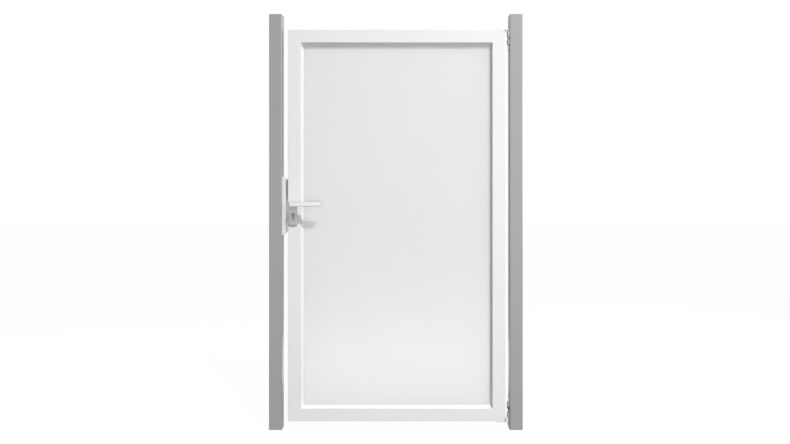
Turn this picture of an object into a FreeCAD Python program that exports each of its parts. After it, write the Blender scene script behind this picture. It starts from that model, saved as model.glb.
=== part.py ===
import FreeCAD, Part
import os

from FreeCAD import Vector

# Glass garden gate: two square posts, a framed leaf with one satin pane, two pivot
# hinges, a lever lock and a keep. Millimetres, +X to the right, +Y away from the
# viewer, +Z up. The origin is the centre of the hinge post's foot, at ground level.

# Posts
post_side = 60.0
post_rise = 70.0
post_wall = 3.0
post_corner = 4.0
cap_thickness = 2.0
cap_chamfer = 0.6
cap_plug_depth = 12.0
plug_wall = 2.0
foot_plate_thickness = 6.0

# Leaf and the gaps round it
leaf_width = 1000.0
leaf_height = 1800.0
ground_gap = 40.0
hinge_gap = 20.0
latch_gap = 27.0
profile_face = 60.0
profile_depth = 50.0
profile_wall = 2.5
profile_corner = 2.0

# Glazing
pane_thickness = 8.0
pane_edge_gap = 2.0
bead_width = 10.0
bead_recess = 11.0
bead_outer_lip = 1.0
bead_nose = 1.0
setting_block_length = 80.0
setting_block_inset = 120.0

# Hinges. The lower one is longer, because its height is set by its washer and its pin
hinge_offset = 7.0
knuckle_radius = 6.5
pin_radius = 3.0
pin_head_radius = 5.0
pin_head_thickness = 2.5
pin_end_gap = 1.0
strap_thickness = 4.0
strap_reach = 55.0
strap_width = 30.0
upper_arm_drop = 5.0
upper_knuckle_drop = 37.0
upper_open_pin = 8.0
upper_washer_thickness = 1.4
lower_arm_drop = 20.0
lower_knuckle_drop = 42.0
lower_open_pin = 18.0
lower_washer_thickness = 6.0
post_knuckle_length = 22.0
hinge_plate_thickness = 3.0
hinge_plate_width = 44.0
hinge_plate_overhang = 20.0

# Lever and its spindle
lever_height = 1037.0
backset = 25.0
neck_radius = 8.0
neck_reach = 48.0
neck_seat_depth = 5.0
bar_depth = 20.0
bar_height = 22.0
bar_tip_height = 17.0
bar_length = 143.0
bar_rounding = 4.0
bar_end_rounding = 6.0
spindle_side = 8.0
spindle_hole_radius = 6.5
spindle_engagement = 25.0

# Lock
escutcheon_width = 39.0
escutcheon_thickness = 9.0
escutcheon_above_lever = 12.0
escutcheon_below_lever = 97.0
escutcheon_sag = 5.0
escutcheon_corner = 6.0
escutcheon_bevel = 1.5
cylinder_drop = 47.0
cylinder_radius = 8.5
cylinder_leg_width = 10.0
cylinder_height = 33.0
cylinder_projection = 3.0
key_slot_width = 2.5
key_slot_height = 9.0
key_slot_depth = 4.0
lock_case_depth = 45.0
lock_case_thickness = 16.0
lock_case_height = 200.0
lock_case_below_lever = 107.0
forend_width = 49.0
forend_height = 230.0
forend_projection = 1.5
bolt_thickness = 12.0
bolt_length = 30.0
latch_bolt_rise = 28.0
dead_bolt_drop = 60.0

# Keep on the latch post
keep_below_lever = 141.0
keep_length = 269.0
keep_thickness = 19.0
keep_base_thickness = 6.0
keep_end_slope = 13.5
keep_front_setback = 5.0
keep_groove_depth = 2.0
keep_lip = 3.0
mouth_depth = 12.0
mouth_margin = 3.0
stop_thickness = 3.0
stop_overlap = 15.0
stop_lift = 25.0
stop_clearance = 5.0
buffer_inset = 2.0

# Clearances between pieces, and how far a cutting shape reaches past what it cuts
fit_clearance = 0.3
pin_clearance = 0.2
bore_clearance = 1.5
cut_reach = 200.0

# Places that follow from the sizes above
front_y = -post_side / 2
rear_y = front_y + profile_depth
middle_y = (front_y + rear_y) / 2
leaf_right = -post_side / 2 - hinge_gap
leaf_left = leaf_right - leaf_width
latch_post_x = leaf_left - latch_gap - post_side / 2
latch_face_x = latch_post_x + post_side / 2
leaf_bottom = ground_gap
leaf_top = ground_gap + leaf_height
post_height = leaf_top + post_rise
leaf_middle_z = (leaf_bottom + leaf_top) / 2
hinge_x = -post_side / 2 - hinge_offset
hinge_y = front_y
spindle_x = leaf_left + backset
cylinder_z = lever_height - cylinder_drop
lock_case_bottom = lever_height - lock_case_below_lever
keep_bottom = lever_height - keep_below_lever
escutcheon_face_y = front_y - escutcheon_thickness
pane_front_y = middle_y - pane_thickness / 2
latch_bolt_z = lever_height + latch_bolt_rise
dead_bolt_z = lever_height - dead_bolt_drop
through_y = (-cut_reach, cut_reach)


def save(name, shape):
    shape.exportStep(f"parts/{name}.step")


def block(x_span, y_span, z_span):
    corner = Vector(x_span[0], y_span[0], z_span[0])
    size = (x_span[1] - x_span[0], y_span[1] - y_span[0], z_span[1] - z_span[0])
    return Part.makeBox(*size, corner)


def upright_cylinder(radius, x, y, z_span):
    return Part.makeCylinder(radius, z_span[1] - z_span[0], Vector(x, y, z_span[0]))


def cross_cylinder(radius, x, z, y_span):
    """A cylinder whose axis runs through the gate, from front to back."""
    return Part.makeCylinder(radius, y_span[1] - y_span[0], Vector(x, y_span[0], z), Vector(0, 1, 0))


def around(middle, width):
    return (middle - width / 2, middle + width / 2)


def rounded_rectangle(x_span, y_span, radius):
    """A face in the ground plane with four rounded corners."""
    solid = block(x_span, y_span, (0, 1))
    if radius > 0:
        upright_edges = [e for e in solid.Edges if e.Vertexes[0].Z != e.Vertexes[-1].Z]
        solid = solid.makeFillet(radius, upright_edges)
    return min(solid.Faces, key=lambda face: face.CenterOfMass.z)


def prism(points, direction):
    """A straight solid on a closed outline of points."""
    outline = Part.makePolygon([*points, points[0]])
    return Part.Face(outline).extrude(direction)


def tube_section(x_span, y_span, wall, corner):
    outer = rounded_rectangle(x_span, y_span, corner)
    inner = rounded_rectangle(
        (x_span[0] + wall, x_span[1] - wall), (y_span[0] + wall, y_span[1] - wall), max(corner - wall, 0)
    )
    return outer.cut(inner).Faces[0]


def mirrored_top_to_bottom(shape):
    return shape.mirror(Vector(0, 0, leaf_middle_z), Vector(0, 0, 1))


def mirrored_front_to_back(shape):
    return shape.mirror(Vector(0, middle_y, 0), Vector(0, 1, 0))


def frame_sides(section, outline, width):
    """The four sides of a rectangular frame, cut at 45 degrees where they meet.

    The section is drawn for the left side, with x as the distance in from the
    outline's left edge. The outline is (left, right, bottom, top).
    """
    left, right, bottom, top = outline
    middle = Vector((left + right) / 2, 0, (bottom + top) / 2)
    start_y, end_y = through_y
    far = Vector(0, end_y - start_y, 0)

    upright = section.extrude(Vector(0, 0, top - bottom))
    upright.translate(Vector(left, 0, bottom))
    upright_mitre = prism(
        [
            Vector(left, start_y, bottom),
            Vector(left, start_y, top),
            Vector(left + width, start_y, top - width),
            Vector(left + width, start_y, bottom + width),
        ],
        far,
    )
    left_side = upright.common(upright_mitre)

    level = section.extrude(Vector(0, 0, right - left))
    level.rotate(Vector(0, 0, 0), Vector(0, 1, 0), -90)
    level.translate(Vector(right, 0, bottom))
    level_mitre = prism(
        [
            Vector(left, start_y, bottom),
            Vector(right, start_y, bottom),
            Vector(right - width, start_y, bottom + width),
            Vector(left + width, start_y, bottom + width),
        ],
        far,
    )
    bottom_side = level.common(level_mitre)

    return {
        "left": left_side,
        "right": left_side.mirror(middle, Vector(1, 0, 0)),
        "bottom": bottom_side,
        "top": bottom_side.mirror(middle, Vector(0, 0, 1)),
    }


def make_posts():
    for name, x in (("hinge_post", 0.0), ("latch_post", latch_post_x)):
        x_span = around(x, post_side)
        y_span = around(0, post_side)
        tube = tube_section(x_span, y_span, post_wall, post_corner)
        save(name, tube.extrude(Vector(0, 0, post_height)))

        inside = post_side - 2 * post_wall - 2 * fit_clearance
        plug_span = (around(x, inside), around(0, inside))
        foot = block(*plug_span, (0, foot_plate_thickness))
        save(f"{name}_foot", foot)

        plate = rounded_rectangle(x_span, y_span, post_corner).extrude(Vector(0, 0, cap_thickness))
        plate.translate(Vector(0, 0, post_height))
        top_z = post_height + cap_thickness
        top_edges = [e for e in plate.Edges if all(abs(v.Z - top_z) < fit_clearance for v in e.Vertexes)]
        plate = plate.makeChamfer(cap_chamfer, top_edges)
        plug = block(*plug_span, (post_height - cap_plug_depth, post_height))
        hollow = inside - 2 * plug_wall
        hollow_z = (post_height - cap_plug_depth, post_height)
        plug = plug.cut(block(around(x, hollow), around(0, hollow), hollow_z))
        save(f"{name}_cap", plate.fuse(plug).removeSplitter())


def cylinder_outline(grow):
    """The outline of a lock cylinder as a solid bar through the gate, grown all round."""
    bottom = cylinder_z + cylinder_radius - cylinder_height
    barrel = cross_cylinder(cylinder_radius + grow, spindle_x, cylinder_z, through_y)
    half_leg = cylinder_leg_width / 2 + grow
    leg_z = (bottom + half_leg - grow, cylinder_z)
    leg = block(around(spindle_x, 2 * half_leg), through_y, leg_z)
    foot = cross_cylinder(half_leg, spindle_x, leg_z[0], through_y)
    return barrel.fuse([leg, foot]).removeSplitter()


def forend_block(width, clearance):
    """The plate in the stile's outer side, which stands a little proud of it."""
    return block(
        (leaf_left - forend_projection, leaf_left + profile_wall),
        around(middle_y, width),
        around(lock_case_bottom + lock_case_height / 2, forend_height + 2 * clearance),
    )


def bolt_block(height, x_span, clearance):
    return block(
        x_span,
        around(middle_y, bolt_thickness + 2 * clearance),
        around(height, bolt_length + 2 * clearance),
    )


def make_leaf_frame():
    section = tube_section((0, profile_face), (front_y, rear_y), profile_wall, profile_corner)
    sides = frame_sides(section, (leaf_left, leaf_right, leaf_bottom, leaf_top), profile_face)

    hole_radius = spindle_hole_radius + bore_clearance
    cuts = [
        cross_cylinder(hole_radius, spindle_x, lever_height, through_y),
        cylinder_outline(bore_clearance),
        forend_block(cut_reach, fit_clearance),
    ]
    save("latch_stile", sides["left"].cut(cuts))
    save("hinge_stile", sides["right"])
    save("bottom_rail", sides["bottom"])
    save("top_rail", sides["top"])


def make_glazing():
    opening = (
        leaf_left + profile_face,
        leaf_right - profile_face,
        leaf_bottom + profile_face,
        leaf_top - profile_face,
    )
    left, right, bottom, top = opening
    gap = pane_edge_gap
    pane = block((left + gap, right - gap), around(middle_y, pane_thickness), (bottom + gap, top - gap))
    save("glass_pane", pane)

    bead_front_y = front_y + bead_recess
    section = Part.Face(
        Part.makePolygon(
            [
                Vector(0, bead_front_y, 0),
                Vector(bead_outer_lip, bead_front_y, 0),
                Vector(bead_width, pane_front_y - bead_nose, 0),
                Vector(bead_width, pane_front_y, 0),
                Vector(0, pane_front_y, 0),
                Vector(0, bead_front_y, 0),
            ]
        )
    )
    for side, bead in frame_sides(section, opening, bead_width).items():
        save(f"front_bead_{side}", bead)
        save(f"rear_bead_{side}", mirrored_front_to_back(bead))

    blocks = [
        block(around(x, setting_block_length), around(middle_y, pane_thickness), (bottom, bottom + gap))
        for x in (left + setting_block_inset, right - setting_block_inset)
    ]
    save("setting_blocks", Part.makeCompound(blocks))


def make_hinge(arm_drop, knuckle_drop, open_pin, washer_thickness):
    """The upper hinge, from its strap on the leaf down to the pin's head."""
    strap_top = leaf_top + strap_thickness
    leaf_knuckle_bottom = leaf_top - knuckle_drop
    post_knuckle_top = leaf_knuckle_bottom - open_pin - washer_thickness - fit_clearance
    post_knuckle_bottom = post_knuckle_top - post_knuckle_length
    bore_radius = pin_radius + pin_clearance
    bore = upright_cylinder(bore_radius, hinge_x, hinge_y, (post_knuckle_bottom, strap_top))

    strap_outline = [
        Vector(hinge_x - strap_reach, front_y, leaf_top),
        Vector(hinge_x, front_y, leaf_top),
        Vector(hinge_x, hinge_y + knuckle_radius, leaf_top),
        Vector(leaf_right, front_y + strap_width, leaf_top),
        Vector(hinge_x - strap_reach, front_y + strap_width, leaf_top),
    ]
    strap = prism(strap_outline, Vector(0, 0, strap_thickness))
    arm_y = around(hinge_y, 2 * knuckle_radius)
    arm = block((leaf_right, hinge_x), arm_y, (leaf_top - arm_drop, strap_top))
    knuckle = upright_cylinder(knuckle_radius, hinge_x, hinge_y, (leaf_knuckle_bottom, strap_top))
    leaf_half = strap.fuse([arm, knuckle]).removeSplitter().cut(bore)

    post_face_x = -post_side / 2
    plate_front_y = hinge_y + knuckle_radius + hinge_plate_thickness
    knuckle_span = (post_knuckle_bottom, post_knuckle_top)
    plate = block(
        (post_face_x - hinge_plate_thickness, post_face_x),
        (plate_front_y, plate_front_y + hinge_plate_width),
        (post_knuckle_bottom - hinge_plate_overhang, leaf_top),
    )
    web_y = (hinge_y, plate_front_y + hinge_plate_thickness)
    web = block((hinge_x, post_face_x), web_y, knuckle_span)
    post_knuckle = upright_cylinder(knuckle_radius, hinge_x, hinge_y, knuckle_span)
    post_half = plate.fuse([web, post_knuckle]).removeSplitter().cut(bore)

    shank = upright_cylinder(pin_radius, hinge_x, hinge_y, (post_knuckle_bottom, strap_top - pin_end_gap))
    head_span = (post_knuckle_bottom - pin_head_thickness, post_knuckle_bottom)
    pin = shank.fuse(upright_cylinder(pin_head_radius, hinge_x, hinge_y, head_span))

    washer_span = (post_knuckle_top + fit_clearance, post_knuckle_top + fit_clearance + washer_thickness)
    washer = upright_cylinder(knuckle_radius, hinge_x, hinge_y, washer_span)
    washer = washer.cut(upright_cylinder(bore_radius, hinge_x, hinge_y, washer_span))
    return {"leaf_hinge": leaf_half, "post_hinge": post_half, "hinge_pin": pin, "hinge_washer": washer}


def make_hinges():
    upper = make_hinge(upper_arm_drop, upper_knuckle_drop, upper_open_pin, upper_washer_thickness)
    lower = make_hinge(lower_arm_drop, lower_knuckle_drop, lower_open_pin, lower_washer_thickness)
    for name, shape in upper.items():
        save(f"top_{name}", shape)
    for name, shape in lower.items():
        save(f"bottom_{name}", mirrored_top_to_bottom(shape))


def make_lock():
    inner_x = leaf_left + profile_wall
    case_z = (lock_case_bottom, lock_case_bottom + lock_case_height)
    case_y = around(middle_y, lock_case_thickness)
    case = block((inner_x, inner_x + lock_case_depth), case_y, case_z)
    spindle_bore = cross_cylinder(spindle_hole_radius, spindle_x, lever_height, case_y)
    save("lock_case", case.cut([spindle_bore, cylinder_outline(fit_clearance)]))

    bolt_x = (leaf_left - forend_projection, inner_x)
    forend = forend_block(forend_width, 0)
    holes = [bolt_block(height, bolt_x, fit_clearance) for height in (latch_bolt_z, dead_bolt_z)]
    save("forend_plate", forend.cut(holes))
    save("latch_bolt", bolt_block(latch_bolt_z, bolt_x, 0))
    save("dead_bolt", bolt_block(dead_bolt_z, bolt_x, 0))

    ends = (escutcheon_face_y - cylinder_projection, mirrored_y(escutcheon_face_y - cylinder_projection))
    bar = block(around(spindle_x, cut_reach), ends, around(cylinder_z, cut_reach))
    cylinder = cylinder_outline(0).common(bar)
    slot = block(
        around(spindle_x, key_slot_width),
        (ends[0], ends[0] + key_slot_depth),
        around(cylinder_z, key_slot_height),
    )
    save("lock_cylinder", cylinder.cut([slot, mirrored_front_to_back(slot)]))

    front = make_escutcheon()
    save("front_escutcheon", front)
    save("rear_escutcheon", mirrored_front_to_back(front))


def mirrored_y(y):
    return 2 * middle_y - y


def make_escutcheon():
    """A plate with two round corners at the top and a sagging lower edge."""
    left, right = around(spindle_x, escutcheon_width)
    bottom = lever_height - escutcheon_below_lever
    top = lever_height + escutcheon_above_lever
    side_foot = bottom + escutcheon_sag
    corner = escutcheon_corner
    slant = corner * (1 - 2**-0.5)

    def point(x, z):
        return Vector(x, front_y, z)

    def line(start, end):
        return Part.LineSegment(start, end).toShape()

    def arc(start, middle, end):
        return Part.Arc(start, middle, end).toShape()

    corner_left = (point(left, top - corner), point(left + slant, top - slant), point(left + corner, top))
    corner_right = (
        point(right - corner, top),
        point(right - slant, top - slant),
        point(right, top - corner),
    )
    edges = [
        line(point(left, side_foot), corner_left[0]),
        arc(*corner_left),
        line(corner_left[-1], corner_right[0]),
        arc(*corner_right),
        line(corner_right[-1], point(right, side_foot)),
        arc(point(right, side_foot), point(spindle_x, bottom), point(left, side_foot)),
    ]
    plate = Part.Face(Part.Wire(edges)).extrude(Vector(0, -escutcheon_thickness, 0))
    face_edges = [
        e for e in plate.Edges if all(abs(v.Y - escutcheon_face_y) < fit_clearance for v in e.Vertexes)
    ]
    plate = plate.makeChamfer(escutcheon_bevel, face_edges)
    whole = (escutcheon_face_y, front_y)
    neck_seat = (escutcheon_face_y, escutcheon_face_y + neck_seat_depth)
    return plate.cut(
        [
            cross_cylinder(spindle_hole_radius, spindle_x, lever_height, whole),
            cross_cylinder(neck_radius + fit_clearance, spindle_x, lever_height, neck_seat),
            cylinder_outline(fit_clearance),
        ]
    )


def make_levers():
    bar_back_y = front_y - neck_reach
    bar_front_y = bar_back_y - bar_depth
    left = spindle_x - neck_radius
    right = left + bar_length
    outline = [
        Vector(left, bar_back_y, lever_height - bar_height / 2),
        Vector(right, bar_back_y, lever_height - bar_tip_height / 2),
        Vector(right, bar_back_y, lever_height + bar_tip_height / 2),
        Vector(left, bar_back_y, lever_height + bar_height / 2),
    ]
    bar = prism(outline, Vector(0, -bar_depth, 0))
    end_edges = [e for e in bar.Edges if abs(e.Vertexes[0].Y - e.Vertexes[-1].Y) > fit_clearance]
    bar = bar.makeFillet(bar_end_rounding, end_edges)
    front_edges = [e for e in bar.Edges if all(abs(v.Y - bar_front_y) < fit_clearance for v in e.Vertexes)]
    bar = bar.makeFillet(bar_rounding, front_edges)

    neck_end_y = escutcheon_face_y + neck_seat_depth - fit_clearance
    neck = cross_cylinder(neck_radius, spindle_x, lever_height, (bar_back_y - bar_depth / 2, neck_end_y))
    socket_side = spindle_side + 2 * pin_clearance
    socket = block(
        around(spindle_x, socket_side),
        (neck_end_y - spindle_engagement, neck_end_y),
        around(lever_height, socket_side),
    )
    lever = bar.fuse(neck).removeSplitter().cut(socket)
    save("front_lever", lever)
    save("rear_lever", mirrored_front_to_back(lever))

    spindle_end_y = neck_end_y - spindle_engagement + fit_clearance
    spindle = block(
        around(spindle_x, spindle_side),
        (spindle_end_y, mirrored_y(spindle_end_y)),
        around(lever_height, spindle_side),
    )
    save("spindle", spindle)


def make_keep():
    """The keep on the latch post: a base, a grooved body with two mouths, a stop and its buffer."""
    keep_top = keep_bottom + keep_length
    keep_front_y = front_y + keep_front_setback
    keep_rear_y = post_side / 2 - stop_thickness
    keep_y = (keep_front_y, keep_rear_y)
    base_x = (latch_face_x, latch_face_x + keep_base_thickness)
    body_left = base_x[1]
    body_right = latch_face_x + keep_thickness
    save("keep_base", block(base_x, keep_y, (keep_bottom, keep_top)))

    outline = [
        Vector(body_left, keep_front_y, keep_bottom),
        Vector(body_right, keep_front_y, keep_bottom + keep_end_slope),
        Vector(body_right, keep_front_y, keep_top - keep_end_slope),
        Vector(body_left, keep_front_y, keep_top),
    ]
    body = prism(outline, Vector(0, keep_rear_y - keep_front_y, 0))
    groove = block(
        (body_left, body_right - keep_lip),
        (keep_front_y, keep_front_y + keep_groove_depth),
        (keep_bottom, keep_top),
    )
    mouths = [
        bolt_block(height, (body_right - mouth_depth, body_right), mouth_margin)
        for height in (latch_bolt_z, dead_bolt_z)
    ]
    save("keep_body", body.cut([groove, *mouths]))

    stop_bottom = lever_height + stop_lift
    stop_top = keep_top - keep_end_slope
    stop_right = leaf_left + stop_overlap
    stop_y = (keep_rear_y, keep_rear_y + stop_thickness)
    save("keep_stop", block((latch_face_x, stop_right), stop_y, (stop_bottom, stop_top)))

    buffer_front_y = rear_y + stop_clearance
    save(
        "stop_buffer",
        block(
            (leaf_left + buffer_inset, stop_right - buffer_inset),
            (buffer_front_y, keep_rear_y),
            (stop_bottom + buffer_inset, stop_top - buffer_inset),
        ),
    )


os.makedirs("parts", exist_ok=True)
make_posts()
make_leaf_frame()
make_glazing()
make_hinges()
make_lock()
make_levers()
make_keep()
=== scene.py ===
import math

import bmesh
import bpy
from mathutils import Matrix, Vector


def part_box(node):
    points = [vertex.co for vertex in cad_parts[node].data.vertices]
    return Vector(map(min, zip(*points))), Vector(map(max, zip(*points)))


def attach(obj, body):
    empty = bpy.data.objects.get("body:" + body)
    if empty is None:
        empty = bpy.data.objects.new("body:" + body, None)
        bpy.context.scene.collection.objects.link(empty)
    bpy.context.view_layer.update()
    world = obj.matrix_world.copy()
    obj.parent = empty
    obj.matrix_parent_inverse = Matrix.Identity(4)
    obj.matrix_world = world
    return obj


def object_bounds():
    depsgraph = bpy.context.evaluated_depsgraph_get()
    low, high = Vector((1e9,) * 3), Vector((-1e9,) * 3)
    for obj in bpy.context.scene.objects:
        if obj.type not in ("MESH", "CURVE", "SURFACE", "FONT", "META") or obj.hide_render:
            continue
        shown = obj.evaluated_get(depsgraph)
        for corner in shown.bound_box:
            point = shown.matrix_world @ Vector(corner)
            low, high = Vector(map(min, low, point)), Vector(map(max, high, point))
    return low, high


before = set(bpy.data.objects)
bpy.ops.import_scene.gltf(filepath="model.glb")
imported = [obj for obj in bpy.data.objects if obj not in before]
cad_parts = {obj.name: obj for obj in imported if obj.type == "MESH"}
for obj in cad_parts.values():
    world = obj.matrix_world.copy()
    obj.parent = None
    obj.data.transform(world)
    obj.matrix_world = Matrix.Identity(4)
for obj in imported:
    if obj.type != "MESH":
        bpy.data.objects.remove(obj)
cad_corners = [list(corner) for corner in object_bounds()]

# The photograph's frame and its scale at the front of the leaf
picture_width = 790
pixels_per_metre = 217.6
picture_middle_x = -0.5575
picture_middle_z = 0.956

# The eye stands level, a little to the right of the leaf's middle. The sensor's width is in millimetres
eye_distance = 3.4
eye_x = -0.5115
eye_z = 1.04
sensor_width = 36.0

# Light: a key from the front right above, a small lamp in front, soft boxes and the surroundings
key_direction = Vector((0.46, -1.0, 1.21))
key_distance = 3.0
key_strength = 2.25
key_angle = math.radians(1)
front_lamp_place = Vector((-0.56, -3.43, 0.6))
front_lamp_radius = 0.04
front_lamp_power = 60
soft_boxes = {
    "right_box": {"place": (1.7, -3.2, 2.5), "size": (0.8, 3.0), "power": 66, "through_glass": True},
    "top_box": {"place": (0.8, -1.8, 4.0), "size": (1.4, 1.4), "power": 14, "through_glass": True},
    "back_box": {"place": (3.2, 2.0, 2.2), "size": (1.6, 1.6), "power": 110, "through_glass": False},
    "left_box": {"place": (-4.2, 0.7, 1.6), "size": (1.6, 1.6), "power": 45, "through_glass": False},
    "low_box": {"place": (-0.55, 0.9, 0.08), "size": (1.4, 0.4), "power": 2.5, "through_glass": True},
}
surroundings = 0.12
background_white = 1.0
floor_shadow_share = 0.035
floor_bounce = 0.2
floor_pale = 0.95
floor_roughness = 0.9
floor_side = 60.0
floor_drop = 0.0003

# Where a pattern counts as darkest and as lightest, and how fine a plain one is
pattern_low = 0.3
pattern_high = 0.7
plain_detail = 2.0

# Powder coat: a slight cloudiness, and the orange peel of the baked surface
coat_cloud_scale = 4.0
coat_cloud_spread = 0.012
coat_roughness_spread = 0.04
peel_scale = 620.0
peel_detail = 3.0
peel_height = 0.00003
peel_strength = 0.4

# Steel: fine scratches, which make it darker and lighter, smoother and rougher
scratch_scale = 60.0
scratch_detail = 4.0
scratch_height = 0.00001
scratch_strength = 0.3
steel_tone_spread = 0.05
steel_smoother = 0.08
steel_rougher = 0.1

# Hinges: a silver coat, and painted shade that darkens the knuckles round the hinge's axis, standing in for
# the shade in the gap between leaf and post
hinge_coat_tone = 0.7
hinge_coat_roughness = 0.36
hinge_coat_metallic = 0.3
hinge_smoothest = 0.3
hinge_roughest = 0.42
knuckle_painted_shade_tone = 0.28
knuckle_grain = (1, 1, 40)
knuckle_painted_shade_radius = 0.0070

# Glass: milky, with a fine frosting
glass_tone = 0.785
glass_roughness = 0.7
glass_transmission = 0.55
glass_gloss = 0.15
glass_ior = 1.5
glass_cloud_scale = 3.0
glass_cloud_spread = 0.006
frosting_scale = 2600.0
frosting_height = 0.00002
frosting_strength = 0.25

# Moulded plastic and rubber: a fine matt grain
mould_detail = 3.0
mould_tone_spread = 0.15
mould_roughness_spread = 0.08
mould_height = 0.00005
mould_strength = 0.4

# Broken edges, as a file or a coat of powder leaves them
edge_break = 0.0003
edge_breaks = {"hinge_steel": 0.0008, "fitting_steel": 0.0005}
edge_segments = 2
broken_edge_angle = math.radians(35)
weld_distance = 0.00001
flat_angle = math.radians(0.5)

# Pieces with a finish of their own within their slot. The escutcheons' finish is a darker copy of the
# fitting steel, painted shade for their darker reflection
own_finishes = {
    "front_escutcheon": "plate_painted_shade",
    "rear_escutcheon": "plate_painted_shade",
    # Painted shade: the lock cylinder is darkened all over for the shade of its key slot
    "lock_cylinder": "cylinder_painted_shade",
    "bottom_hinge_washer": "washer_black",
}

# Screws with a hexagonal socket, sunk into the piece that they hold
socket_sides = 6
ring_points = 24
socket_share = 0.5
socket_depth_share = 0.7
screw_edge = 0.0002
screw_gap = 0.0002
screw_sink = 0.0001
cone_taper = 0.5
hinge_screw = {"radius": 0.004, "depth": 0.0022}
lock_screw = {"radius": 0.0038, "depth": 0.0014}
grub_screw = {"radius": 0.0025, "depth": 0.003, "taper": 1.0, "sink": 0.0006}
strap_screws = 2
plate_screw_inset = 0.012
strap_screw_inset = 0.010
strap_screw_spacing = 0.022
keep_screw_inset = 0.033
stop_screw_inset = 0.014
hinge_plate_thickness = 0.003

# The plug of the lock cylinder, the lever's neck, the pane's seal and the lower pin's end
plug_radius = 0.0066
plug_groove_width = 0.0004
plug_groove_depth = 0.0006
neck_radius = 0.008
neck_screw_setback = 0.011
seal_width = 0.0016
seal_height = 0.0009
seal_arc_steps = 5
pin_radius = 0.003
pin_tail_length = 0.013
pin_tail_chamfer = 0.0008

pin_low, pin_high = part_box("top_hinge_pin")
hinge_axis = (pin_low + pin_high) / 2

upward = Vector((0, 0, 1))
downward = Vector((0, 0, -1))
leftward = Vector((-1, 0, 0))
rightward = Vector((1, 0, 0))
rearward = Vector((0, 1, 0))


# Nodes that materials and the surroundings share

def grey(tone):
    """An opaque neutral colour."""
    return (tone, tone, tone, 1)


def link(owner, source, target):
    owner.node_tree.links.new(source, target)


def calculated(owner, operation, first, second):
    """Two values made into one. The second is a number or comes from another node."""
    node = owner.node_tree.nodes.new("ShaderNodeMath")
    node.operation = operation
    link(owner, first, node.inputs[0])
    if isinstance(second, float):
        node.inputs[1].default_value = second
    else:
        link(owner, second, node.inputs[1])
    return node.outputs[0]


def two_tones(owner, factor, dark, light, start=0.0, end=1.0):
    """A grey that goes from dark to light while the factor goes from start to end."""
    ramp = owner.node_tree.nodes.new("ShaderNodeValToRGB")
    low, high = ramp.color_ramp.elements
    low.position = start
    high.position = end
    low.color = grey(dark)
    high.color = grey(light)
    link(owner, factor, ramp.inputs["Fac"])
    return ramp.outputs["Color"]


# Materials

def shader_of(material):
    return material.node_tree.nodes["Principled BSDF"]


def new_material(name, tone, roughness, metallic=0.0):
    material = bpy.data.materials.new(name)
    material.use_nodes = True
    shader = shader_of(material)
    shader.inputs["Base Color"].default_value = grey(tone)
    shader.inputs["Roughness"].default_value = roughness
    shader.inputs["Metallic"].default_value = metallic
    return material


def noise(material, scale, detail=plain_detail, stretch=(1, 1, 1)):
    """A noise pattern fixed to the object, in metres, and stretched along an axis."""
    nodes = material.node_tree.nodes
    place = nodes.new("ShaderNodeTexCoord")
    mapping = nodes.new("ShaderNodeMapping")
    mapping.inputs["Scale"].default_value = stretch
    pattern = nodes.new("ShaderNodeTexNoise")
    pattern.inputs["Scale"].default_value = scale
    pattern.inputs["Detail"].default_value = detail
    link(material, place.outputs["Object"], mapping.inputs["Vector"])
    link(material, mapping.outputs["Vector"], pattern.inputs["Vector"])
    return pattern.outputs[0]


def ranged(material, pattern, low, high):
    """The pattern's value, stretched to run from low to high."""
    spread = material.node_tree.nodes.new("ShaderNodeMapRange")
    spread.inputs["From Min"].default_value = pattern_low
    spread.inputs["From Max"].default_value = pattern_high
    spread.inputs["To Min"].default_value = low
    spread.inputs["To Max"].default_value = high
    link(material, pattern, spread.inputs["Value"])
    return spread.outputs["Result"]


def vary_colour(material, pattern, tone, spread):
    """The base colour wanders between a darker and a lighter tone with the pattern."""
    dark = tone * (1 - spread)
    light = tone * (1 + spread)
    tones = two_tones(material, pattern, dark, light, pattern_low, pattern_high)
    link(material, tones, shader_of(material).inputs["Base Color"])


def vary_roughness(material, pattern, low, high):
    link(material, ranged(material, pattern, low, high), shader_of(material).inputs["Roughness"])


def vary_tone(material, pattern, colour_output, spread):
    """A colour that other nodes have made wanders a little between darker and lighter."""
    tone = material.node_tree.nodes.new("ShaderNodeHueSaturation")
    link(material, ranged(material, pattern, 1 - spread, 1 + spread), tone.inputs["Value"])
    link(material, colour_output, tone.inputs["Color"])
    link(material, tone.outputs["Color"], shader_of(material).inputs["Base Color"])


def add_bump(material, pattern, height, strength):
    bump = material.node_tree.nodes.new("ShaderNodeBump")
    bump.inputs["Strength"].default_value = strength
    bump.inputs["Distance"].default_value = height
    link(material, pattern, bump.inputs["Height"])
    link(material, bump.outputs["Normal"], shader_of(material).inputs["Normal"])


def powder_coat(name, tone, roughness, gloss):
    """Baked powder: a fine orange peel, a slight cloudiness and an even satin gloss."""
    material = new_material(name, tone, roughness)
    shader_of(material).inputs["Specular IOR Level"].default_value = gloss
    clouds = noise(material, coat_cloud_scale)
    vary_colour(material, clouds, tone, coat_cloud_spread)
    peel = noise(material, peel_scale, peel_detail)
    vary_roughness(material, peel, roughness - coat_roughness_spread, roughness + coat_roughness_spread)
    add_bump(material, peel, peel_height, peel_strength)
    return material


def brushed_steel(name, tone, roughness, grain, metallic=1.0, contrast=1.0):
    """Stainless steel with fine scratches along one axis."""
    material = new_material(name, tone, roughness, metallic)
    scratches = noise(material, scratch_scale, scratch_detail, grain)
    vary_colour(material, scratches, tone, steel_tone_spread * contrast)
    smoothest = roughness - steel_smoother * contrast
    roughest = roughness + steel_rougher * contrast
    vary_roughness(material, scratches, smoothest, roughest)
    add_bump(material, scratches, scratch_height, scratch_strength)
    return material


def vector_step(material, operation, source):
    """One step of a calculation with vectors."""
    node = material.node_tree.nodes.new("ShaderNodeVectorMath")
    node.operation = operation
    link(material, source, node.inputs[0])
    return node


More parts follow.
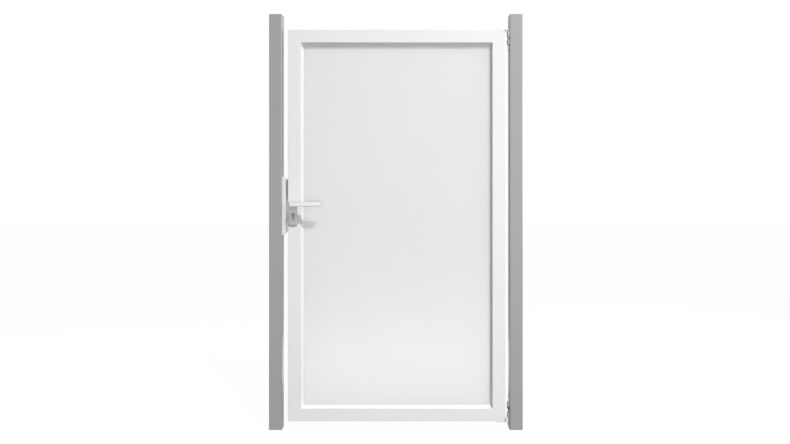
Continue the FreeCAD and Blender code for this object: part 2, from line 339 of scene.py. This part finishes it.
def hinge_steel(name):
    """Straps and plates in a silver coat, with painted shade that darkens the knuckles round the hinge's
    axis.
    """
    material = new_material(name, hinge_coat_tone, hinge_coat_roughness, hinge_coat_metallic)
    place = material.node_tree.nodes.new("ShaderNodeTexCoord")
    offset = vector_step(material, "SUBTRACT", place.outputs["Object"])
    offset.inputs[1].default_value = hinge_axis
    level = vector_step(material, "MULTIPLY", offset.outputs[0])
    level.inputs[1].default_value = (1, 1, 0)
    distance = vector_step(material, "LENGTH", level.outputs[0])
    # Painted shade: within this radius of the axis the knuckles are darkened, standing in for the shade
    # between leaf and post
    outside_painted_shade = calculated(material, "GREATER_THAN", distance.outputs["Value"], knuckle_painted_shade_radius)
    tones = two_tones(material, outside_painted_shade, knuckle_painted_shade_tone, hinge_coat_tone)
    turning = noise(material, scratch_scale, scratch_detail, knuckle_grain)
    vary_tone(material, turning, tones, steel_tone_spread)
    vary_roughness(material, turning, hinge_smoothest, hinge_roughest)
    add_bump(material, turning, scratch_height, scratch_strength)
    return material


def satin_glass(name):
    """Acid-etched glass: milky, with a fine frosting that scatters what lies behind it."""
    material = new_material(name, glass_tone, glass_roughness)
    shader = shader_of(material)
    shader.inputs["Transmission Weight"].default_value = glass_transmission
    shader.inputs["Specular IOR Level"].default_value = glass_gloss
    shader.inputs["IOR"].default_value = glass_ior
    clouds = noise(material, glass_cloud_scale)
    vary_colour(material, clouds, glass_tone, glass_cloud_spread)
    frosting = noise(material, frosting_scale)
    add_bump(material, frosting, frosting_height, frosting_strength)
    return material


def moulded(name, tone, roughness, grain):
    """Moulded plastic or rubber with a fine matt grain."""
    material = new_material(name, tone, roughness)
    pattern = noise(material, grain, mould_detail)
    vary_colour(material, pattern, tone, mould_tone_spread)
    smoothest = roughness - mould_roughness_spread
    roughest = roughness + mould_roughness_spread
    vary_roughness(material, pattern, smoothest, roughest)
    add_bump(material, pattern, mould_height, mould_strength)
    return material


def make_finishes():
    """The finish of each slot, and of the pieces that have one of their own."""
    steel = brushed_steel
    recipes = {
        "post_grey": (powder_coat, {"tone": 0.305, "roughness": 0.42, "gloss": 0.7}),
        "frame_silver": (powder_coat, {"tone": 0.76, "roughness": 0.42, "gloss": 0.5}),
        "satin_glass": (satin_glass, {}),
        "block_black": (moulded, {"tone": 0.05, "roughness": 0.5, "grain": 900.0}),
        "keep_silver": (
            steel,
            {"tone": 0.7, "roughness": 0.25, "grain": (60, 60, 1), "metallic": 0.3, "contrast": 0.25},
        ),
        "buffer_rubber": (moulded, {"tone": 0.03, "roughness": 0.8, "grain": 700.0}),
        "hinge_steel": (hinge_steel, {}),
        "pin_steel": (steel, {"tone": 0.22, "roughness": 0.3, "grain": (1, 1, 60), "metallic": 0.6}),
        "lock_steel": (steel, {"tone": 0.42, "roughness": 0.32, "grain": (40, 40, 1), "metallic": 0.7}),
        "fitting_steel": (steel, {"tone": 0.56, "roughness": 0.42, "grain": (1, 40, 40), "metallic": 0.8}),
        # Painted shade: a darker copy of the fitting steel for the escutcheons' darker reflection
        "plate_painted_shade": (steel, {"tone": 0.34, "roughness": 0.3, "grain": (1, 40, 40)}),
        # Painted shade: the lock cylinder darkened all over for the shade of its key slot
        "cylinder_painted_shade": (steel, {"tone": 0.2, "roughness": 0.35, "grain": (1, 1, 1)}),
        "washer_black": (moulded, {"tone": 0.03, "roughness": 0.3, "grain": 900.0}),
    }
    return {name: make(name, **values) for name, (make, values) in recipes.items()}


# Mesh pieces

def finished(form, name):
    """The form as a mesh. The form itself is given up."""
    mesh = bpy.data.meshes.new(name)
    form.to_mesh(mesh)
    form.free()
    return mesh


def add_piece(name, mesh, body, slot):
    piece = bpy.data.objects.new(name, mesh)
    bpy.context.scene.collection.objects.link(piece)
    mesh.materials.append(finishes[slot])
    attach(piece, body)
    return piece


def ring(form, radius, height, points):
    """Corners round the z axis."""
    angles = [math.tau * step / points for step in range(points)]
    return [
        form.verts.new((radius * math.cos(angle), radius * math.sin(angle), height))
        for angle in angles
    ]


def wall(form, first, second):
    """Faces between two rings with as many corners."""
    for step in range(len(first)):
        form.faces.new((first[step - 1], first[step], second[step], second[step - 1]))


def closed_walls(form, levels):
    """Faces from each ring to the next, and from the last one back to the first."""
    for step in range(len(levels)):
        wall(form, levels[step - 1], levels[step])


def stacked(rings):
    """A closed form round the z axis, from pairs of a radius and a height."""
    form = bmesh.new()
    levels = [ring(form, radius, height, ring_points) for radius, height in rings]
    for lower, upper in zip(levels, levels[1:]):
        wall(form, lower, upper)
    form.faces.new(levels[0])
    form.faces.new(levels[-1])
    return form


def screw_form(radius, depth, taper):
    """A screw's head: flat on top at height 0, with a hexagonal socket."""
    form = bmesh.new()
    socket_floor = ring(form, radius * socket_share, -depth * socket_depth_share, socket_sides)
    socket_mouth = ring(form, radius * socket_share, 0, socket_sides)
    rim = ring(form, radius - screw_edge, 0, ring_points)
    brow = ring(form, radius, -screw_edge, ring_points)
    foot = ring(form, radius * taper, -depth, ring_points)
    form.faces.new(socket_floor)
    form.faces.new(foot)
    wall(form, socket_floor, socket_mouth)
    wall(form, rim, brow)
    wall(form, brow, foot)
    share = ring_points // socket_sides
    for side in range(socket_sides):
        arc = [rim[(side * share + step) % ring_points] for step in range(share + 1)]
        form.faces.new((socket_mouth[(side + 1) % socket_sides], socket_mouth[side], *arc))
    return form


def seat_form(radius, depth, taper):
    """What is cut out of a piece for a screw's head, with a hairline gap round it."""
    wide = radius + screw_gap
    return stacked([(wide, depth), (wide, 0), (radius * taper + screw_gap, -depth - screw_gap)])


def groove_form(radius, width, depth):
    """A ring that cuts a fine round groove into a face at height 0."""
    form = bmesh.new()
    inner = radius - width / 2
    outer = radius + width / 2
    section = ((inner, -depth), (inner, depth), (outer, depth), (outer, -depth))
    closed_walls(form, [ring(form, reach, height, ring_points) for reach, height in section])
    return form


def copies(form, places, direction):
    """One mesh with a form at each place, its z axis along the direction."""
    pattern = finished(form, "pattern")
    whole = bmesh.new()
    facing = direction.to_track_quat("Z", "Y").to_matrix().to_4x4()
    for place in places:
        one = pattern.copy()
        one.transform(Matrix.Translation(place) @ facing)
        whole.from_mesh(one)
    bmesh.ops.recalc_face_normals(whole, faces=whole.faces)
    return finished(whole, "copies")


def add_cutter(node, mesh, body):
    """A hidden form that is cut out of a node."""
    cutter = bpy.data.objects.new(f"{node}_cutter", mesh)
    bpy.context.scene.collection.objects.link(cutter)
    cutter.hide_render = True
    cutter.hide_viewport = True
    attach(cutter, body)
    cutters[node] = cutter


def add_screws(node, body, direction, places, radius, depth, taper=cone_taper, sink=screw_sink):
    """Screws in seats that are cut into a node, their heads just below its face."""
    sunk = [place - direction * sink for place in places]
    heads = copies(screw_form(radius, depth, taper), sunk, direction)
    add_piece(f"{node}_screws", heads, body, "lock_steel")
    seats = copies(seat_form(radius, depth + sink, taper), places, direction)
    add_cutter(node, seats, body)


def screw_hinges():
    """Two screws into the outer face of each strap on the leaf, three through each plate on the post."""
    for level, direction in (("top", upward), ("bottom", downward)):
        low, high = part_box(f"{level}_leaf_hinge")
        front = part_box("hinge_stile")[0].y
        strap_middle = (front + high.y) / 2
        face_z = high.z if direction is upward else low.z
        first_x = low.x + strap_screw_inset
        places = [
            Vector((first_x + step * strap_screw_spacing, strap_middle, face_z))
            for step in range(strap_screws)
        ]
        add_screws(f"{level}_leaf_hinge", "leaf", direction, places, **hinge_screw)

        low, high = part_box(f"{level}_post_hinge")
        face_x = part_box("hinge_post")[0].x - hinge_plate_thickness
        y = high.y - plate_screw_inset
        heights = (low.z + plate_screw_inset, (low.z + high.z) / 2, high.z - plate_screw_inset)
        places = [Vector((face_x, y, z)) for z in heights]
        add_screws(f"{level}_post_hinge", "posts", leftward, places, **hinge_screw)


def screw_lock():
    """Screws in the forend plate, in the keep and its stop, and under each lever's neck."""
    middle = (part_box("spindle")[0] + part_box("spindle")[1]) / 2
    low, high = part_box("forend_plate")
    heights = (low.z + plate_screw_inset, high.z - plate_screw_inset)
    places = [Vector((low.x, middle.y, z)) for z in heights]
    add_screws("forend_plate", "leaf", leftward, places, **lock_screw)

    low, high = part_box("keep_body")
    between = (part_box("latch_bolt")[0].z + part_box("dead_bolt")[1].z) / 2
    heights = (low.z + keep_screw_inset, between, high.z - keep_screw_inset)
    places = [Vector((high.x, middle.y, z)) for z in heights]
    add_screws("keep_body", "posts", rightward, places, **hinge_screw)

    low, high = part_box("keep_stop")
    x = low.x + stop_screw_inset / 2
    heights = (low.z + stop_screw_inset, high.z - stop_screw_inset)
    places = [Vector((x, high.y, z)) for z in heights]
    add_screws("keep_stop", "posts", rearward, places, **lock_screw)

    for side, away in (("front", -1), ("rear", 1)):
        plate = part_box(f"{side}_escutcheon")
        face_y = plate[0].y if away < 0 else plate[1].y
        place = Vector((middle.x, face_y + away * neck_screw_setback, middle.z - neck_radius))
        add_screws(f"{side}_lever", "lever", downward, [place], **grub_screw)


def groove_cylinder():
    """The fine ring round the plug that the key turns, on both ends of the lock cylinder."""
    low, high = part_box("lock_cylinder")
    x = (low.x + high.x) / 2
    barrel_radius = (high.x - low.x) / 2
    ends = [Vector((x, y, high.z - barrel_radius)) for y in (low.y, high.y)]
    form = groove_form(plug_radius, plug_groove_width, plug_groove_depth)
    add_cutter("lock_cylinder", copies(form, ends, rearward), "leaf")


def add_pin_tail():
    """The lower pin's round end, which stands out below the strap."""
    low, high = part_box("bottom_hinge_pin")
    tip = low.z - pin_tail_length
    rings = [
        (pin_radius, low.z),
        (pin_radius, tip + pin_tail_chamfer),
        (pin_radius - pin_tail_chamfer, tip),
    ]
    place = Vector((hinge_axis.x, hinge_axis.y, 0))
    add_piece("bottom_pin_tail", copies(stacked(rings), [place], upward), "posts", "pin_steel")


def strip_round(outline, profile, face_y, outward):
    """A thin strip laid round the inside of a rectangle, with a profile of (inset, height) pairs."""
    left, right, bottom, top = outline
    form = bmesh.new()
    loops = []
    for inset, height in profile:
        y = face_y + outward * height
        spots = (
            (left + inset, bottom + inset),
            (right - inset, bottom + inset),
            (right - inset, top - inset),
            (left + inset, top - inset),
        )
        loops.append([form.verts.new((x, y, z)) for x, z in spots])
    closed_walls(form, loops)
    bmesh.ops.recalc_face_normals(form, faces=form.faces)
    return finished(form, "strip")


def add_seals():
    """A soft seal between the beads and the pane, on both faces."""
    turns = [step / seal_arc_steps * math.pi / 2 for step in range(seal_arc_steps + 1)]
    arc = [(seal_width * math.sin(turn), seal_height * math.cos(turn)) for turn in turns]
    profile = [(0.0, 0.0), *arc]
    pane_low, pane_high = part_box("glass_pane")
    for side, face_y, outward in (("front", pane_low.y, -1), ("rear", pane_high.y, 1)):
        outline = (
            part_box(f"{side}_bead_left")[1].x,
            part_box(f"{side}_bead_right")[0].x,
            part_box(f"{side}_bead_bottom")[1].z,
            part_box(f"{side}_bead_top")[0].z,
        )
        strip = strip_round(outline, profile, face_y, outward)
        add_piece(f"{side}_seal", strip, "leaf", "frame_silver")


def soften_edges(node, width):
    """Breaks the sharp edges of a node, after what is cut out of it."""
    weld = node.modifiers.new("weld", "WELD")
    weld.merge_threshold = weld_distance
    if node.name in cutters:
        cutting = node.modifiers.new("cutting", "BOOLEAN")
        cutting.operation = "DIFFERENCE"
        cutting.solver = "EXACT"
        cutting.object = cutters[node.name]
    flats = node.modifiers.new("flats", "DECIMATE")
    flats.decimate_type = "DISSOLVE"
    flats.angle_limit = flat_angle
    rounding = node.modifiers.new("rounding", "BEVEL")
    rounding.width = width
    rounding.segments = edge_segments
    rounding.limit_method = "ANGLE"
    rounding.angle_limit = broken_edge_angle
    rounding.harden_normals = True


def dress_nodes():
    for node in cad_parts.values():
        slot = node.data.materials[0].name
        node.data.materials[0] = finishes[own_finishes.get(node.name, slot)]
        soften_edges(node, edge_breaks.get(slot, edge_break))


# Surroundings

def seen_directly(owner):
    """1 where a ray comes from the eye, a gloss or the glass, and 0 for the light that falls on things."""
    path = owner.node_tree.nodes.new("ShaderNodeLightPath")
    total = path.outputs["Is Camera Ray"]
    for name in ("Is Glossy Ray", "Is Transmission Ray"):
        total = calculated(owner, "MAXIMUM", total, path.outputs[name])
    return total


def make_world():
    world = bpy.data.worlds.new("surroundings")
    bpy.context.scene.world = world
    world.use_nodes = True
    nodes = world.node_tree.nodes
    soft = nodes["Background"]
    white = nodes.new("ShaderNodeBackground")
    for light, strength in ((soft, surroundings), (white, background_white)):
        light.inputs["Color"].default_value = grey(1)
        light.inputs["Strength"].default_value = strength
    mix = nodes.new("ShaderNodeMixShader")
    link(world, seen_directly(world), mix.inputs[0])
    link(world, soft.outputs[0], mix.inputs[1])
    link(world, white.outputs[0], mix.inputs[2])
    link(world, mix.outputs[0], nodes["World Output"].inputs["Surface"])


def floor_material():
    """Pale and lit where it is seen, with a share of plain white, and darker where it throws light back."""
    material = new_material("floor", floor_bounce, floor_roughness)
    shader = shader_of(material)
    shader.inputs["Specular IOR Level"].default_value = 0
    nodes = material.node_tree.nodes
    direct = seen_directly(material)
    link(material, two_tones(material, direct, floor_bounce, floor_pale), shader.inputs["Base Color"])
    white = nodes.new("ShaderNodeEmission")
    white.inputs["Strength"].default_value = background_white
    mix = nodes.new("ShaderNodeMixShader")
    link(material, calculated(material, "MULTIPLY", direct, 1 - floor_shadow_share), mix.inputs[0])
    link(material, shader.outputs[0], mix.inputs[1])
    link(material, white.outputs[0], mix.inputs[2])
    link(material, mix.outputs[0], nodes["Material Output"].inputs["Surface"])
    return material


def make_floor():
    """A pale floor that melts into the background and keeps a faint shadow of the gate."""
    mesh = bpy.data.meshes.new("floor")
    half = floor_side / 2
    spots = ((-half, -half), (half, -half), (half, half), (-half, half))
    mesh.from_pydata([(x, y, -floor_drop) for x, y in spots], [], [range(len(spots))])
    floor = bpy.data.objects.new("floor", mesh)
    bpy.context.scene.collection.objects.link(floor)
    mesh.materials.append(floor_material())


def add_lamp(name, kind, toward, place, strength):
    data = bpy.data.lights.new(name, kind)
    data.energy = strength
    lamp = bpy.data.objects.new(name, data)
    bpy.context.scene.collection.objects.link(lamp)
    lamp.location = place
    lamp.rotation_mode = "QUATERNION"
    lamp.rotation_quaternion = toward.to_track_quat("Z", "Y")
    return lamp


def make_lamps():
    key = add_lamp("key", "SUN", key_direction, key_direction * key_distance, key_strength)
    key.data.angle = key_angle
    low, high = cad_corners
    aim = (Vector(low) + Vector(high)) / 2
    front = add_lamp("front_lamp", "POINT", front_lamp_place - aim, front_lamp_place, front_lamp_power)
    front.data.shadow_soft_size = front_lamp_radius
    for name, box in soft_boxes.items():
        place = Vector(box["place"])
        lamp = add_lamp(name, "AREA", place - aim, place, box["power"])
        lamp.data.shape = "RECTANGLE"
        lamp.data.size, lamp.data.size_y = box["size"]
        lamp.visible_camera = False
        lamp.visible_transmission = box["through_glass"]


def make_camera():
    """A level eye. The picture's middle is lower than the eye, so the lens is shifted."""
    metres_across = picture_width / pixels_per_metre
    front_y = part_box("latch_stile")[0].y
    data = bpy.data.cameras.new("camera")
    data.sensor_width = sensor_width
    data.lens = sensor_width * eye_distance / metres_across
    data.shift_x = (picture_middle_x - eye_x) / metres_across
    data.shift_y = (picture_middle_z - eye_z) / metres_across
    camera = bpy.data.objects.new("camera", data)
    bpy.context.scene.collection.objects.link(camera)
    camera.location = (eye_x, front_y - eye_distance, eye_z)
    camera.rotation_euler = (math.pi / 2, 0, 0)
    bpy.context.scene.camera = camera


finishes = make_finishes()
cutters = {}
screw_hinges()
screw_lock()
groove_cylinder()
add_pin_tail()
add_seals()
dress_nodes()
make_world()
make_floor()
make_lamps()
make_camera()
bpy.context.scene.view_settings.view_transform = "Standard"
